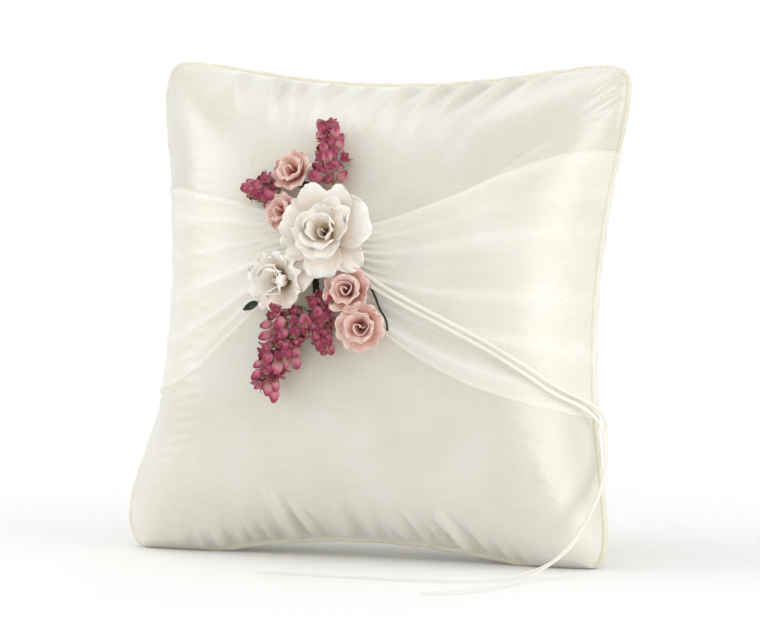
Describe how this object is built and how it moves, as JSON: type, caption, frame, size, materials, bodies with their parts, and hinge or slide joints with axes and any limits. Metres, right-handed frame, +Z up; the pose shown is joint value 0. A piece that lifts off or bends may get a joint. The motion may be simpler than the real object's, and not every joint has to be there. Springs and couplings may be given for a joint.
{
  "type": "ring bearer pillow",
  "caption": "Square padded satin pillow with a piped seam, a sheer gathered sash, narrow ring ribbons and a small paper-flower corsage on its face.",
  "frame": {"origin": "on the table, under the middle of the pillow and its corsage, ribbons left out", "axes": "+X to the right of the flowered face, +Y out of the back, +Z up; the pillow stands on its two lower corners and leans back"},
  "size_m": [0.1972, 0.1554, 0.1903],
  "materials": {
    "ivory_satin": "satin weave, soft sheen",
    "ivory_bias_satin": "satin bias strip",
    "cotton_cord": "twisted cotton",
    "polyester_fibre": "loose fibre",
    "ivory_organza": "sheer, crisp sheen",
    "ivory_thread": "spun thread",
    "ivory_felt": "felt",
    "floral_tape": "crepe paper tape",
    "dark_leaf_paper": "matt paper",
    "ivory_paper": "matt paper",
    "dusty_pink_paper": "matt paper",
    "burgundy_bud_paper": "matt paper",
    "ivory_ribbon_satin": "satin ribbon"
  },
  "bodies": {
    "root": {"front_cover": "ivory_satin", "back_cover": "ivory_satin", "fibre_filling": "polyester_fibre", "piping_sleeve": "ivory_bias_satin", "piping_cord": "cotton_cord", "organza_sash": "ivory_organza", "sash_tie": "ivory_thread", "felt_backing": "ivory_felt", "taped_stems": "floral_tape", "floral_wire": "dark_leaf_paper", "leaf_left": "dark_leaf_paper", "leaf_upper": "dark_leaf_paper", "large_rose_outer_petals": "ivory_paper", "large_rose_middle_petals": "ivory_paper", "large_rose_inner_petals": "ivory_paper", "large_rose_heart": "ivory_paper", "small_rose_outer_petals": "ivory_paper", "small_rose_inner_petals": "ivory_paper", "small_rose_heart": "ivory_paper", "pink_rose_upper_outer_petals": "dusty_pink_paper", "pink_rose_upper_inner_petals": "dusty_pink_paper", "pink_rose_left_outer_petals": "dusty_pink_paper", "pink_rose_left_inner_petals": "dusty_pink_paper", "pink_rose_right_outer_petals": "dusty_pink_paper", "pink_rose_right_inner_petals": "dusty_pink_paper", "pink_rose_lower_outer_petals": "dusty_pink_paper", "pink_rose_lower_inner_petals": "dusty_pink_paper", "bud_spray_upper": "burgundy_bud_paper", "bud_spray_left": "burgundy_bud_paper", "bud_spray_lower_left": "burgundy_bud_paper", "bud_spray_lower": "burgundy_bud_paper", "ribbon_knot": "ivory_ribbon_satin", "ring_ribbon_1": "ivory_ribbon_satin", "ring_ribbon_2": "ivory_ribbon_satin"}
  },
  "joints": []
}
